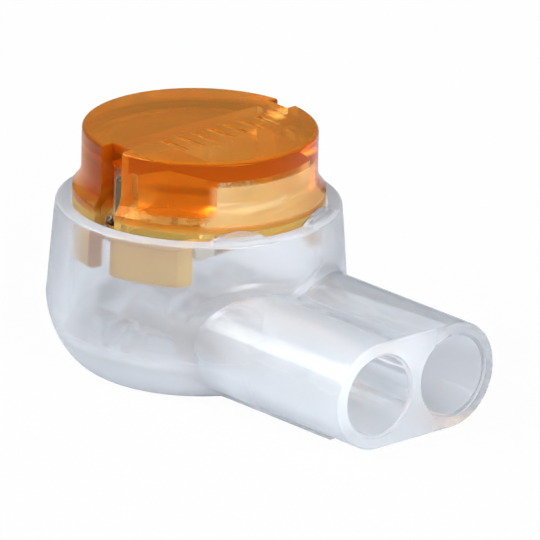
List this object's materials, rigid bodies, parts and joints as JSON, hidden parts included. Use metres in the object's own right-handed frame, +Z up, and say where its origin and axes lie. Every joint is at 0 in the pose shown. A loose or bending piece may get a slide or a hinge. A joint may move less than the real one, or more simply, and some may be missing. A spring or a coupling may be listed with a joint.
{
  "type": "insulation piercing connector",
  "caption": "Wire splice connector: clear round body with side-by-side wire holes, and an amber press cap that drives a forked contact through the wires' insulation.",
  "frame": {"origin": "on the flat underside, on the axis of the round body, which the cap slides along", "axes": "+X the way the wire holes face, +Z up through the press cap, +Y across the wire holes, to the left of someone who looks along +X"},
  "size_m": [0.0159, 0.01, 0.0083],
  "materials": {
    "body_shell": "clear, slightly milky moulded plastic",
    "amber_cap": "see-through amber moulded plastic, glossy",
    "contact_metal": "tin-plated strip, satin",
    "sealant": "clear soft sealant"
  },
  "bodies": {
    "body": {"body": "body_shell"},
    "cap": {"cap": "amber_cap", "contact": "contact_metal", "sealant_gel": "sealant"}
  },
  "joints": [
    {"name": "cap_press", "type": "slide", "parent": "body", "child": "cap", "axis": [0, 0, 1], "range_m": [-0.0026, 0]}
  ]
}
